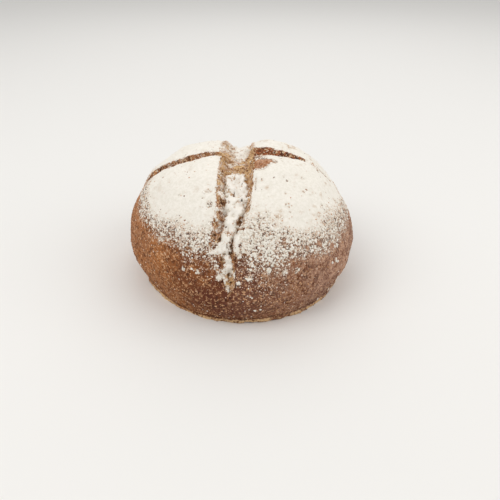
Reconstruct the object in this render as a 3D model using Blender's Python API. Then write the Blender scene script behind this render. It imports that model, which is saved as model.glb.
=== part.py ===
"""Whole wheat country loaf: a round, domed loaf with a torn cross cut, one closed solid on a flat foot.

Run it with: blender --background --python part.py
Metres, +Z up. The loaf stands on z = 0 with its centre over the origin, and its widest cut runs towards -Y.
"""

import bmesh
import bpy
import numpy as np

MM = 0.001

# Driving sizes of the domed form
BELT_RADIUS = 110 * MM  # half of the loaf's width, at its widest
BELT_HEIGHT = 34 * MM  # height of that widest line over the foot
DOME_HEIGHT = 126.5 * MM  # height of the dome, if it had no cuts
FOOT_SHARE = 0.88  # radius of the flat foot against the belt's
DOME_POWER = 2.09  # 2 is an ellipse, more is squarer
TUCK_ROUND = 0.3  # how gently the side turns under the belt, as a share of the belt's height
CROWN_SINK = 2.9 * MM  # the crown has settled this much round the cuts
CROWN_SINK_REACH = 44 * MM
LOBE_RISE = 3.3 * MM  # the four lobes between the cuts stand this proud of the dome
LOBE_HIGHEST = 40  # direction of the highest lobe from +X towards +Y, in degrees
LOBE_UNEVENNESS = 0.35
LOBE_START = 85 * MM  # distance from the crown at which a lobe is fully risen
LOBE_END = 165 * MM
LOBE_FADE = 60 * MM
PLAN_WAVES = ((2, -0.0026, -0.030), (3, 0.003, 0.013))  # harmonic, cosine and sine share of the radius

# The cross cut, in millimetres. A station is a distance from the crown over the crust, and the rows under
# it hold the cut's middle, half its width and its depth there. The low wall is the one on the side of -X,
# or of -Y in the side arms; both walls' widths are given, and how far the crust beside them rounds down.
CUTS = {
    "front": {
        "heading": (0, -1),
        "stations": (-14, 0, 35, 60, 80, 95, 106, 118, 132, 148, 160),
        "centre": (-3, -3, -3.5, -4.5, -6, -10, -12.5, -13, -11.5, -11, -11),
        "half_width": (15, 16, 16.5, 16.5, 16, 15, 13.5, 10, 6.5, 4.5, 2),
        "depth": (0, 8.5, 9.5, 9, 8.5, 7.5, 6.5, 5.5, 4.5, 3, 0),
        "low_wall": 8.0,
        "high_wall": 5.0,
        "shoulder": 2.6,
    },
    "back": {
        "heading": (0, 1),
        "stations": (-14, 0, 25, 45, 70, 95, 120, 140, 152),
        "centre": (-3, -3, -3, -2.5, 0, 4, 7, 8, 9),
        "half_width": (16, 17, 17, 16.5, 15, 13, 10, 6, 2),
        "depth": (0, 8.5, 9, 9, 8.5, 7.5, 5, 2.5, 0),
        "low_wall": 12.0,
        "high_wall": 6.5,
        "shoulder": 4.0,
    },
    "left": {
        "heading": (-1, 0),
        "stations": (-12, 0, 20, 45, 65, 80, 100, 120, 138),
        "centre": (0, 1, 2, -2, -4, 3, 6, 8, 9),
        "half_width": (6, 6.5, 6, 6, 6, 7.5, 6.5, 5, 2),
        "depth": (0, 6, 6.5, 6, 5.5, 5.5, 5, 3, 0),
        "low_wall": 5.0,
        "high_wall": 4.5,
        "shoulder": 1.2,
    },
    "right": {
        "heading": (1, 0),
        "stations": (-12, 0, 14, 28, 36, 44, 52, 60, 68),
        "centre": (0, 0, -1, -0.5, 2, 4, 6, 6, 5),
        "half_width": (8, 11, 12.5, 11.5, 8.5, 6.5, 6, 4.5, 2),
        "depth": (0, 7, 7, 6.5, 6, 5.5, 4.5, 3, 0),
        "low_wall": 5.0,
        "high_wall": 11.0,
        "shoulder": 1.2,
    },
    "front branch": {
        "heading": (0, -1),
        "stations": (84, 94, 104, 114, 122),
        "centre": (-18, -19, -22, -26, -29),
        "half_width": (3, 5, 5.5, 4.5, 2),
        "depth": (0, 3, 3.5, 2.5, 0),
        "low_wall": 4.0,
        "high_wall": 4.0,
        "shoulder": 0.3,
    },
    "right crease": {
        "heading": (1, 0),
        "stations": (60, 70, 90, 110, 126),
        "centre": (6, 5, 6, 7, 7),
        "half_width": (3, 3.5, 3.5, 3.5, 2),
        "depth": (0, 1.6, 1.3, 1.2, 0),
        "low_wall": 3.5,
        "high_wall": 3.5,
        "shoulder": 0.5,
    },
}

# The risen slab of dough between the walls of the front arm, and of the back one: its two sides, how far
# it stands over the cut's floor, and the width of its rounded edges
SLABS = {
    "front": {
        "stations": (20, 34, 48, 62, 75, 88, 97, 107, 116, 126, 140),
        "left": (-10, -14, -14, -12, -10.5, -11, -12, -15, -17, -15, -13),
        "right": (1, 4, 5.5, 7.5, 8, 3, -1, -5, -8, -8.5, -9),
        "rise": (0, 3, 4.5, 4.5, 4.5, 4.5, 4.5, 4, 3.5, 2.5, 0),
        "edge": 3.5,
    },
    "back": {
        "stations": (20, 40, 65, 90, 115, 132),
        "left": (-6, -7, -6, -3, 1, 5),
        "right": (7, 8, 10, 13, 14, 12),
        "rise": (0, 2.5, 3.5, 3.5, 2.5, 0),
        "edge": 4.0,
    },
}

# How far the rounding beside the cuts reaches, and the thin lip lifted along the front arm
SHOULDER_REACH = 9
LIP_REACH = 3.2
LIP_RISE = 0.9

# Unevenness: wavelength, height and seed of each layer, over the whole crust and inside the cuts
CRUST_WAVES = ((85 * MM, 1.0 * MM, 13), (34 * MM, 0.5 * MM, 12))
TORN_WAVES = ((17 * MM, 1.1 * MM, 21), (10 * MM, 0.6 * MM, 22))
FOOT_FADE = 22 * MM  # the last of the crust, over which the unevenness dies away to the flat foot

# The net of faces, closer beside the two lines of the cross
NET_FACES = 72
NET_CLOSENESS = 0.42
NET_TURN = 0.25
NET_BEND_REACH = 45 * MM  # how far beside a cut the net is bent to run along it
CROSSING_WIDTH = 20 * MM  # over which the bend of one arm turns into that of the arm across from it

CRUST_COLOUR = (0.300, 0.140, 0.062, 1)
CRUST_ROUGHNESS = 0.72


def smoothstep(x):
    """0 below 0, 1 above 1 and an S-shaped rise between."""
    x = np.clip(x, 0, 1)
    return x * x * (3 - 2 * x)


def curve_through(x, stations, values):
    """A smooth curve through a few values: cubic Hermite pieces whose slopes are the values' own."""
    stations = np.asarray(stations, float)
    values = np.asarray(values, float)
    slopes = np.gradient(values, stations)
    x = np.clip(x, stations[0], stations[-1])
    piece = np.clip(np.searchsorted(stations, x, side="right") - 1, 0, len(stations) - 2)
    span = stations[piece + 1] - stations[piece]
    t = (x - stations[piece]) / span
    start = (2 * t**3 - 3 * t**2 + 1) * values[piece] + (t**3 - 2 * t**2 + t) * span * slopes[piece]
    end = (3 * t**2 - 2 * t**3) * values[piece + 1] + (t**3 - t**2) * span * slopes[piece + 1]
    return start + end


def waves(points, wavelength, height, seed):
    """Smooth unevenness: a sum of cosine waves that run in seeded random directions."""
    draw = np.random.default_rng(seed)
    count = 14
    directions = draw.normal(size=(count, 3))
    directions /= np.linalg.norm(directions, axis=1, keepdims=True)
    lengths = wavelength * draw.uniform(0.7, 1.4, count)
    phases = draw.uniform(0, 2 * np.pi, count)
    total = np.cos(2 * np.pi * points @ (directions / lengths[:, None]).T + phases).sum(axis=1)
    return height * total * np.sqrt(2 / count)


def plan_share(turn):
    """The loaf's radius in this direction, against the belt's."""
    share = np.ones_like(turn)
    for harmonic, cosine, sine in PLAN_WAVES:
        share += cosine * np.cos(harmonic * turn) + sine * np.sin(harmonic * turn)
    return share


def profile():
    """The dome's half section from the crown to the foot, by arc length: arc, radius, height and normal.

    A superellipse above the belt, and below it a rounded turn into a straight slope that ends on the foot.
    """
    turn = np.linspace(0, np.pi / 2, 900)
    above = (np.sin(turn) ** DOME_POWER + np.cos(turn) ** DOME_POWER) ** (-1 / DOME_POWER)
    dome_radius = BELT_RADIUS * above * np.sin(turn)
    dome_height = BELT_HEIGHT + (DOME_HEIGHT - BELT_HEIGHT) * above * np.cos(turn)
    down = np.linspace(0, 1, 400)
    tuck = (np.hypot(down, TUCK_ROUND) - TUCK_ROUND) / (np.hypot(1, TUCK_ROUND) - TUCK_ROUND)
    tuck_radius = BELT_RADIUS * (1 - (1 - FOOT_SHARE) * tuck)
    tuck_height = BELT_HEIGHT * (1 - down)
    radius = np.append(dome_radius, tuck_radius[1:])
    height = np.append(dome_height, tuck_height[1:])
    arc = np.append(0, np.cumsum(np.hypot(np.diff(radius), np.diff(height))))
    out = -np.gradient(height, arc)
    up = np.gradient(radius, arc)
    size = np.hypot(out, up)
    return arc, radius, height, out / size, up / size


def arm_coordinates(map_x, map_y, heading):
    """Distance along an arm of the cross and the place across it, in millimetres."""
    along = (map_x * heading[0] + map_y * heading[1]) / MM
    across = (map_x if heading[0] == 0 else map_y) / MM
    return along, across


def cut_shape(map_x, map_y, cut):
    """One cut's depth in millimetres, and how far inside its edges a place is, from 0 to 1."""
    along, across = arm_coordinates(map_x, map_y, cut["heading"])
    centre, half_width, depth = (
        curve_through(along, cut["stations"], cut[name]) for name in ("centre", "half_width", "depth")
    )
    low = smoothstep((across - centre + half_width) / cut["low_wall"])
    high = smoothstep((half_width - across + centre) / cut["high_wall"])
    reached = (along > cut["stations"][0]) & (along < cut["stations"][-1])
    return reached * np.maximum(depth, 0) * low * high, reached * low * high


def edge_distance(map_x, map_y, cut):
    """Distance outside the nearer edge of a cut, in millimetres; large past its ends."""
    along, across = arm_coordinates(map_x, map_y, cut["heading"])
    centre = curve_through(along, cut["stations"], cut["centre"])
    half_width = curve_through(along, cut["stations"], cut["half_width"])
    beyond = np.maximum(cut["stations"][0] - along, along - cut["stations"][-1])
    return np.hypot(np.maximum(np.abs(across - centre) - half_width, 0), np.maximum(beyond, 0))


def slab_rise(map_x, map_y, name):
    """How far the slab of dough in an arm stands over the arm's floor, in millimetres."""
    slab = SLABS[name]
    along, across = arm_coordinates(map_x, map_y, CUTS[name]["heading"])
    left, right, rise = (
        curve_through(along, slab["stations"], slab[row]) for row in ("left", "right", "rise")
    )
    reached = (along > slab["stations"][0]) & (along < slab["stations"][-1])
    left_side = smoothstep((across - left) / slab["edge"] + 0.5)
    right_side = smoothstep((right - across) / slab["edge"] + 0.5)
    return reached * np.maximum(rise, 0) * left_side * right_side


def relief(map_x, map_y, points):
    """Height of the crust over the dome, in metres: lobes and sunk crown, cuts and slabs, and unevenness."""
    deepest = np.zeros_like(map_x)
    inside = np.zeros_like(map_x)
    shoulder = np.zeros_like(map_x)
    sharpness = 4
    for cut in CUTS.values():
        depth, within = cut_shape(map_x, map_y, cut)
        outside = edge_distance(map_x, map_y, cut)
        deepest += depth**sharpness
        inside = np.maximum(inside, within * np.clip(depth / 3, 0, 1))
        shoulder = np.maximum(shoulder, cut["shoulder"] * np.exp(-((outside / SHOULDER_REACH) ** 2)))
    deepest **= 1 / sharpness
    lip = LIP_RISE * np.exp(-(((edge_distance(map_x, map_y, CUTS["front"]) - LIP_REACH) / LIP_REACH) ** 2))
    rise = slab_rise(map_x, map_y, "front") + slab_rise(map_x, map_y, "back")
    arc = np.hypot(map_x, map_y)
    turn = np.arctan2(map_y, map_x)
    lobe = LOBE_RISE * (1 + LOBE_UNEVENNESS * np.cos(turn - np.radians(LOBE_HIGHEST))) * np.sin(2 * turn) ** 2
    lobe *= smoothstep(arc / LOBE_START) * smoothstep((LOBE_END - arc) / LOBE_FADE)
    sink = CROWN_SINK * np.exp(-((arc / CROWN_SINK_REACH) ** 2))
    height = lobe - sink + MM * (lip * (1 - inside) - shoulder - deepest + np.minimum(rise, 0.75 * deepest))
    for wavelength, size, seed in CRUST_WAVES:
        height += waves(points, wavelength, size, seed)
    for wavelength, size, seed in TORN_WAVES:
        height += inside * waves(points, wavelength, size, seed)
    return height


def centre_offset():
    """From the dome's axis to the middle of the belt's extents, which is what lies over the origin."""
    turn = np.linspace(-np.pi, np.pi, 1440, endpoint=False)
    radius = BELT_RADIUS * plan_share(turn)
    x = radius * np.cos(turn)
    y = radius * np.sin(turn)
    return (x.max() + x.min()) / 2, (y.max() + y.min()) / 2


def bent_net(map_x, map_y):
    """Shifts the net sideways so that its lines run along the bends of the four arms, near them."""
    shifts = []
    for arms, place, beside in ((("front", "back"), map_y, map_x), (("left", "right"), map_x, map_y)):
        low, high = (
            curve_through(np.abs(place) / MM, CUTS[arm]["stations"], CUTS[arm]["centre"]) for arm in arms
        )
        past = smoothstep(0.5 + place / CROSSING_WIDTH)
        shifts.append((low + (high - low) * past) * MM * np.exp(-((beside / NET_BEND_REACH) ** 2)))
    rim_fade = smoothstep((profile()[0][-1] - np.hypot(map_x, map_y)) / FOOT_FADE)
    return map_x + shifts[0] * rim_fade, map_y + shifts[1] * rim_fade


def crust_points(net):
    """Places of the net's points, which run from -1 to 1 both ways, on the crust.

    The square is drawn closer beside its two middle lines, rounded to a disc, bent along the cuts, and
    laid over the dome with the disc's radius as the arc length from the crown.
    """
    reach = np.sqrt(1 + NET_TURN**2) - NET_TURN
    bent = np.sqrt(net**2 + NET_TURN**2) - NET_TURN
    graded = np.sign(net) * (NET_CLOSENESS * np.abs(net) + (1 - NET_CLOSENESS) * bent)
    graded /= NET_CLOSENESS + (1 - NET_CLOSENESS) * reach
    u, v = graded.T
    arcs, radii, heights, outs, ups = profile()
    map_x, map_y = bent_net(u * np.sqrt(1 - v**2 / 2) * arcs[-1], v * np.sqrt(1 - u**2 / 2) * arcs[-1])
    arc = np.minimum(np.hypot(map_x, map_y), arcs[-1])
    turn = np.arctan2(map_y, map_x)
    radius = np.interp(arc, arcs, radii) * plan_share(turn)
    out = np.interp(arc, arcs, outs)
    points = np.stack(
        [radius * np.cos(turn), radius * np.sin(turn), np.interp(arc, arcs, heights)], axis=1
    )
    normals = np.stack([out * np.cos(turn), out * np.sin(turn), np.interp(arc, arcs, ups)], axis=1)
    fade = smoothstep((arcs[-1] - arc) / FOOT_FADE)
    points += normals * (fade * relief(map_x, map_y, points))[:, None]
    points[arc >= arcs[-1] * (1 - 1e-9), 2] = 0
    points[:, :2] -= centre_offset()
    return points


def crust_material():
    material = bpy.data.materials.new("whole wheat crust")
    material.use_nodes = True
    surface = material.node_tree.nodes["Principled BSDF"]
    surface.inputs["Base Color"].default_value = CRUST_COLOUR
    surface.inputs["Roughness"].default_value = CRUST_ROUGHNESS
    surface.inputs["Metallic"].default_value = 0
    material.diffuse_color = CRUST_COLOUR
    return material


def make_loaf(collection):
    """A grid laid over the dome for the crust, closed by one flat face for the foot."""
    net = bmesh.new()
    bmesh.ops.create_grid(net, x_segments=NET_FACES, y_segments=NET_FACES, size=1)
    places = crust_points(np.array([point.co[:2] for point in net.verts]))
    for point, place in zip(net.verts, places):
        point.co = place
    rim = [edge for edge in net.edges if edge.is_boundary]
    bmesh.ops.holes_fill(net, edges=rim, sides=0)
    bmesh.ops.recalc_face_normals(net, faces=net.faces)
    for face in net.faces:
        face.smooth = True
    mesh = bpy.data.meshes.new("loaf")
    net.to_mesh(mesh)
    net.free()
    mesh.materials.append(crust_material())
    mesh.set_sharp_from_angle(angle=np.radians(50))
    loaf = bpy.data.objects.new("loaf", mesh)
    collection.objects.link(loaf)
    return loaf


def main():
    for leftover in list(bpy.data.objects):
        bpy.data.objects.remove(leftover, do_unlink=True)
    collection = bpy.data.collections.new("whole wheat country loaf")
    bpy.context.scene.collection.children.link(collection)
    make_loaf(collection)


if __name__ == "__main__":
    main()
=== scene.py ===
import itertools
import math

import bpy
import numpy as np
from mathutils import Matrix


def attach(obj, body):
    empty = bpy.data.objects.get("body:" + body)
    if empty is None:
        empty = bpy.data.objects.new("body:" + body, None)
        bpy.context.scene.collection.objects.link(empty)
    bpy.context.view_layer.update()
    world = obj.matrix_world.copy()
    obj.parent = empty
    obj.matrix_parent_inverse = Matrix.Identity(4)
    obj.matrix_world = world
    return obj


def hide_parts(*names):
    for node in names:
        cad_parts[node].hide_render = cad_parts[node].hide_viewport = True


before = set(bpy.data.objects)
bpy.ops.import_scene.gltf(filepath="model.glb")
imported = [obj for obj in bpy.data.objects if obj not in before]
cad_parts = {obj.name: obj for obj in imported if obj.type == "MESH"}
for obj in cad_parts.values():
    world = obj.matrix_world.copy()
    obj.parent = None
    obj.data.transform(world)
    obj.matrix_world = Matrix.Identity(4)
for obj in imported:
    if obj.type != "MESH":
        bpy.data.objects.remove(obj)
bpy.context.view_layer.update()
print("frame loaded")

# A round whole wheat loaf with a torn cross cut, dusted with flour. Shapes are worked out in millimetres,
# and go into the meshes in metres.
mm = 0.001

# The dome, its four lobes and the sunk crown, the same as the solid's
dome = {
    "beltRadius": 110,
    "beltHeight": 34,
    "domeHeight": 126.5,
    "footShare": 0.88,
    "power": 2.09,  # 2 is an ellipse, more is squarer
    "tuckRound": 0.3,
    "planWaves": ((2, -0.0026, -0.030), (3, 0.003, 0.013)),  # harmonic, cosine and sine share
    "crownSink": 2.9,
    "crownSinkReach": 44,
    "lobeRise": 3.3,
    "lobeHighest": 40,  # degrees from +X towards +Y
    "lobeUnevenness": 0.35,
    "lobeStart": 85,
    "lobeEnd": 165,
    "lobeFade": 60,
    "crustWaves": ((85, 1.0, 13), (34, 0.5, 12)),  # wavelength, height and seed
    "tornWaves": ((17, 1.1, 21), (10, 0.6, 22)),
    "footFade": 22,
    "domeSamples": 900,
    "tuckSamples": 400,
    "planSamples": 1440,
}

# The cross cut: stations are distances from the crown over the crust, and each row gives the cut's middle,
# half its width and its depth there. The low wall is the one towards -X, or -Y in the side arms. Flour is
# how much dust lies in the cut, and paleCrumb is 1 where its crumb is tan and 0 where it is dark.
cuts = {
    "front": {
        "heading": (0, -1),
        "stations": (-14, 0, 35, 60, 80, 95, 106, 118, 132, 148, 160),
        "centre": (-3, -3, -3.5, -4.5, -6, -10, -12.5, -13, -11.5, -11, -11),
        "halfWidth": (15, 16, 16.5, 16.5, 16, 15, 13.5, 10, 7.5, 6, 2),
        "depth": (0, 8.5, 9.5, 9, 8.5, 7.5, 6.5, 5.5, 4.5, 3, 0),
        "lowWall": 8.0,
        "highWall": 5.0,
        "shoulder": 2.6,
        "flour": 0.12,
        "paleCrumb": 1.0,
    },
    "back": {
        "heading": (0, 1),
        "stations": (-14, 0, 25, 45, 70, 95, 120, 140, 152),
        "centre": (-3, -3, -3, -2.5, 0, 4, 7, 8, 9),
        "halfWidth": (16, 17, 17, 16.5, 15, 13, 10, 6, 2),
        "depth": (0, 8.5, 9, 9, 8.5, 7.5, 5, 2.5, 0),
        "lowWall": 12.0,
        "highWall": 6.5,
        "shoulder": 4.0,
        "flour": 0.42,
        "paleCrumb": 0.9,
    },
    "left": {
        "heading": (-1, 0),
        "stations": (-12, 0, 20, 45, 65, 80, 100, 120, 138),
        "centre": (0, 1, 2, -2, -4, 3, 6, 8, 9),
        "halfWidth": (6, 7, 6.8, 6.8, 6.8, 7.8, 6.5, 5, 2),
        "depth": (0, 6, 6.5, 6, 5.5, 5.5, 5, 3, 0),
        "lowWall": 5.0,
        "highWall": 4.5,
        "shoulder": 1.2,
        "flour": 0.23,
        "paleCrumb": 0.25,
    },
    "right": {
        "heading": (1, 0),
        "stations": (-12, 0, 14, 28, 36, 44, 52, 60, 68),
        "centre": (0, 0, -1, -0.5, 2, 4, 6, 6, 5),
        "halfWidth": (8, 11, 12.5, 11.5, 8.5, 6.5, 6, 4.5, 2),
        "depth": (0, 7, 7, 6.5, 6, 5.5, 4.5, 3, 0),
        "lowWall": 5.0,
        "highWall": 11.0,
        "shoulder": 1.2,
        "flour": 0.12,
        "paleCrumb": 0.0,
    },
    "frontBranch": {
        "heading": (0, -1),
        "stations": (84, 94, 104, 114, 122),
        "centre": (-18, -19, -22, -26, -29),
        "halfWidth": (3, 5, 5.5, 4.5, 2),
        "depth": (0, 3, 3.5, 2.5, 0),
        "lowWall": 4.0,
        "highWall": 4.0,
        "shoulder": 0.3,
        "flour": 0.3,
        "paleCrumb": 0.5,
    },
    "rightCrease": {
        "heading": (1, 0),
        "stations": (60, 70, 90, 110, 126),
        "centre": (6, 5, 6, 7, 7),
        "halfWidth": (3, 3.5, 3.5, 3.5, 2),
        "depth": (0, 1.6, 1.3, 1.2, 0),
        "lowWall": 3.5,
        "highWall": 3.5,
        "shoulder": 0.5,
        "flour": 0.62,
        "paleCrumb": 0.3,
    },
}

# The risen slab of dough between the walls of the front arm, and of the back one
slabs = {
    "front": {
        "stations": (20, 34, 48, 62, 75, 88, 97, 107, 116, 126, 140),
        "left": (-7, -11.5, -12, -11, -11.5, -13.5, -16, -17, -24, -14, -17),
        "right": (1, 5, 6.5, 8.5, 6, -0.5, -2.5, -6.5, -9.5, -8.5, -3.5),
        "rise": (0, 3, 4.5, 4.5, 4.5, 4.5, 4.5, 4, 3.5, 2.5, 0),
        "edge": 4.0,
    },
    "back": {
        "stations": (20, 40, 65, 90, 115, 132),
        "left": (-6, -7, -6, -3, 1, 5),
        "right": (7, 8, 10, 13, 14, 12),
        "rise": (0, 2.5, 3.5, 3.5, 2.5, 0),
        "edge": 4.0,
    },
}
cutEdges = {
    "shoulderReach": 9,
    "lipReach": 3.2,
    "lipRise": 0.9,
    "tearOutside": 0.7,  # the crust starts to open this far outside a cut
    "tearWidth": 1.2,
    "tornDepth": 2,  # a cut this deep is torn open
    "insideDepth": 3,  # and one this deep counts in full as a cut
    "slabShare": 0.75,  # a slab rises by no more than this share of its cut's depth
    "raggedX": ((8, 0.9, 35), (3.2, 0.5, 36)),  # size, reach and seed: the torn edges wander this much
    "raggedY": ((8, 0.9, 37), (3.2, 0.5, 38)),
    "slabRagged": ((10, 2.0, 39), (4.0, 1.5, 40), (2.2, 1.4, 34)),
}

# The net of faces, drawn closer beside the arms of the cross and towards the foot
net = {
    "faces": 308,
    "closeness": 0.42,
    "turn": 0.25,
    "footCloseness": 0.55,
    "bendReach": 45,
    "crossingWidth": 20,
}

# Fine relief over the solid's form: heights in millimetres
relief = {
    "crustGrain": ((5.5, 0.3, 41), (2.6, 0.3, 42)),  # size, height and seed
    "crustPits": {"cell": 9, "radii": (0.8, 1.9), "share": 0.5, "depth": 0.6, "seed": 50},
    "tornLumps": ((6.5, 0.8, 43), (3.2, 0.9, 44), (1.8, 0.5, 45)),
    "valleys": ((4.2, 0.62, 55), (2.2, 0.38, 56)),  # -1 in a valley of the torn crumb, 1 on a lump
    "valleyDepth": 0.9,
    "tornHoles": {"cell": 4.2, "radii": (0.9, 2.2), "share": 0.7, "depth": 1.3, "seed": 60},
    "folds": {"size": 3.4, "stretch": 4.0, "height": 1.0, "middle": 4, "reach": 30, "seed": 48},
    "foldsHide": {"lumps": 0.6, "holes": 0.5},
    "slabLumps": ((9, 1.2, 49), (4.2, 0.9, 51), (2.2, 0.7, 59)),
    "slabCracks": {"size": 6.5, "width": 0.13, "patches": 8, "patchEdge": 0.25, "depth": 0.8, "seed": 90},
    "slabHoles": {"cell": 6, "radii": (0.5, 1.2), "share": 0.75, "depth": 1.5, "bare": 1.5, "seed": 80},
    "flourThickness": 0.35,
    "flourLumps": ((7, 0.3, 46), (3, 0.18, 47)),
    "rimBulge": 2.1,
    "rimHeight": 2.6,
    "rimSpread": 2.0,
    "rimLumps": ((7, 0.9, 73), (3, 0.5, 74)),
    "rimWander": ((22, 2, 71),),
    "markShadeDepth": 1.6,  # a mark this deep gets the full painted shade of a hole
}

# Where the flour lies: its thick and its thin edge as distances from the crown, by direction in degrees
dust = {
    "turns": (-180, -170, -155, -146, -136, -126, -118, -112, -106, -84, -77, -70, -62, -51, -40, -28, -16,
              0, 40, 70, 100, 130, 155, 180),
    "thickEdge": (94, 95, 104, 107, 106, 103, 104, 102, 94, 84, 87, 95, 106, 107, 105, 105, 109, 113,
                  112, 108, 114, 106, 98, 94),
    "thinEdge": (107, 108, 119, 122, 124, 122, 124, 127, 130, 131, 133, 132, 130, 131, 131, 128, 123, 124,
                 126, 126, 130, 122, 112, 107),
    "steps": (-0.4, 0, 0.25, 0.6, 1.0, 1.35, 2.6),  # 0 at the thick edge, 1 at the thin one
    "amounts": (1.0, 0.79, 0.59, 0.46, 0.36, 0.21, 0.1),
    "filmTurns": (-180, -130, -100, -75, -40, -10, 40, 100, 180),
    "film": (0.36, 0.04, 0.02, 0.34, 0.92, 0.86, 0.5, 0.3, 0.36),  # a thin film of dust on the bare crust
    "raggedness": ((24, 4, 31), (9, 3, 32)),
    "thinSpots": ((9, 0.5, 57), (4, 0.5, 58)),
    "thinSpotEdge": (0.25, 0.4),
    "thinSpotDepth": 0.2,
    "thinSide": (8, 20),  # the thin spots fade in from this place across, over this width
    "slabValleys": 0.5,
    "crackShare": 0.75,
    "slabAmount": 1.02,
    "slabStarts": (24, 36),  # over this stretch from the crown the slabs turn floury
    "slabRaggedness": ((7, 0.3, 33), (3, 0.3, 34)),
    "cutPatches": ((6, 0.22, 52), (3, 0.2, 53)),
    "wallSides": (-8, -6),  # where the left wall of the front arm ends, and the right one starts
    "wallBlend": 4,
    "wallStart": -18,
    "leftWallStations": (30, 60, 84, 110, 130),
    "leftWall": (0.28, 0.38, 0.32, 0.28, 0.3),
    "rightWallStations": (60, 70, 80, 92, 104, 118, 130),
    "rightWall": (0.08, 0.24, 0.55, 0.52, 0.68, 0.6, 0.3),
    "crossing": {"amount": 0.56, "middle": 6, "reach": 24, "halfWidth": 15},
    "valleyShare": 0.3,
    "overCrust": 0.1,  # a cut holds at most this much more flour than the crust round it
    "hidesTorn": (0.6, 0.3),  # flour hides the torn crumb from this amount on, over this range
}

# How golden the crust is: 0 is dark red-brown and 1 golden. The clouds are the crust's own tone; the slopes
# are partly painted shade, darker towards the bottom, the right and the front
crustWarmthAndShade = {
    "middle": 0.45,
    "slopes": (-0.0035, 0.002, 0.003),  # along X, Y and Z
    "clouds": ((26, 0.22, 72),),
    "most": 0.9,
    "shadePlace": (-24, -138),  # painted shade: the crust is drawn darker here, low on the front
    "shadeReach": 40,
    "shadeAmount": 0.36,
}
# Parts of the torn crumb that are browner: where each starts across the front arm and how softly, which is
# negative towards -X, the same along the arm, and how brown it is
brownCrumb = {
    "leftWall": (-6, -5, -45, 30, 1.0),
    "lowerHalf": (-60, 1, -84, 8, 1.0),
    "rightWall": (5, 3, -30, 8, 0.35),
}
brownEnd = {"place": -136, "blend": 6, "paler": 0.7}

# Single marks: place in the crown map, half sizes, flour added or taken away, and how deep they lie
marks = {
    "crossBack": (1, 23, 8, 8, 0.35, 0),
    "crossLeft": (-13, 14, 6, 12, -0.3, 0),
    "crossRight": (12, 7, 11, 9, -0.8, 0),
    "crossGold": (-3, -10, 9, 6, -0.5, 0),
    "crossHoles": (-11.5, -29, 2.6, 3.4, -0.5, 1.2),
    "cornerPink": (18, -29, 8.5, 9.5, -0.88, 0.3),
    "cornerPinkTail": (28, -26, 6, 4.5, -0.55, 0),
    "cornerLip": (16, -15, 9, 5, -0.5, 0),
    "bridge": (-17, -63.5, 5, 1.8, 0.4, -1.2),
    "bridgeLow": (-17, -79, 4.5, 1.8, 0.35, -0.8),
    "holeBelow": (-16, -71, 3.5, 3, -0.25, 0.9),
    "leftDash": (-33, -69, 3, 0.8, -0.55, 0.4),
    "leftSpots": (-27, -75, 3.5, 4, -0.5, 0.3),
    "leftSpotsLow": (-25, -93, 3.5, 3, -0.3, 0.3),
    "leftSpotsHigh": (-28, -62.5, 4, 2, -0.45, 0.2),
    "slabPit": (3, -67, 1, 1.2, -1.4, 2),
    "slabNickRight": (6, -57, 2.4, 0.9, -0.45, 0.5),
    "slabNickLeft": (-8.5, -60, 2.2, 1, -0.55, 0.6),
    "fissureTop": (2, -85, 2.6, 1.6, -0.4, 0.6),
    "fissureMiddle": (0.5, -91, 3.6, 4.5, -0.55, 0.8),
    "fissureLow": (-1, -99, 1.8, 3, -0.5, 0.8),
    "crack": (-6.8, -108.5, 1, 2.6, -0.7, 1),
    "massEdge": (-2.5, -112, 3.4, 8.5, 0.6, -3),
    "massHoleUp": (4, -99, 2.2, 1.1, -0.7, 0.6),
    "massHole": (1, -113, 1.7, 1.1, -0.9, 1),
    "rightMass": (5, -108, 7, 10, 0.2, -0.6),
    "massFoot": (5.5, -121, 2.4, 1.2, -0.4, 0.8),
    "tipLeft": (-27.5, -118, 4.5, 2, 0.5, -0.7),
    "gapOverTriangle": (-13.5, -120.5, 5.5, 1.5, -0.7, 1),
    "triangle": (-11.5, -127.5, 2.4, 4.5, 0.65, -1),
    "triangleFoot": (-11, -133, 5.5, 2.4, 0.5, -0.6),
    "triangleHole": (-7, -134.5, 1.8, 1.8, -1, 1.4),
    "oliveStrip": (-3.5, -125, 2.2, 6, -0.55, 1),
    "lowerRight": (4, -127, 3, 6, -0.08, 0.4),
    "lowerLeft": (-18.5, -127, 3.2, 5, -0.35, 0.8),
    "clumpLeft": (-22, -140.5, 4, 3.4, 0.55, -0.6),
    "clumpLeftUp": (-17, -135, 2.4, 2.2, 0.5, -0.5),
    "clumpRight": (11, -140.5, 4.4, 2.1, 0.45, -0.6),
    "clumpLow": (-1, -146, 2.8, 2.6, 0.22, -0.5),
    "paleFold": (11, -156, 3.6, 0.9, 0.22, -0.6),
    "crumbRight": (-5, -139, 1.2, 3.6, 0.55, -0.8),
    "crumbTip": (-13.5, -152.5, 1.8, 3, 0.5, -0.8),
    "crumbHoleUp": (-12, -140.5, 1.6, 2.4, -0.6, 1.3),
    "crumbHole": (-10, -147.5, 1.6, 1.6, -0.6, 1.2),
    "crumbLeft": (-16, -144, 1.1, 3, 0.45, -0.7),
    "lipCrack": (14.6, -54, 0.7, 11, -0.5, 0.8),
}
# Small alike spots: their places in the crown map, and one half size, flour amount and depth for them all
spots = {
    "greySpecks": {
        "places": ((20, -50), (37, -16), (38, -45), (41, -48), (40, -62), (41, -73), (45, -79), (56, -37),
                   (57, -54), (60, -50), (77, -5), (76, -59)),
        "half": 1.4,
        "flour": -0.55,
        "depth": 0.25,
    },
    "whiteClumps": {
        "places": ((105, -83), (112, -94), (60, -125), (47, -129), (31, -131), (-45, -132), (-62, -126)),
        "half": 2.2,
        "flour": 0.5,
        "depth": -0.5,
    },
}


def smoothStep(x):
    # 0 below 0, 1 above 1 and an S-shaped rise between
    x = np.clip(x, 0, 1)
    return x * x * (3 - 2 * x)


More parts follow.
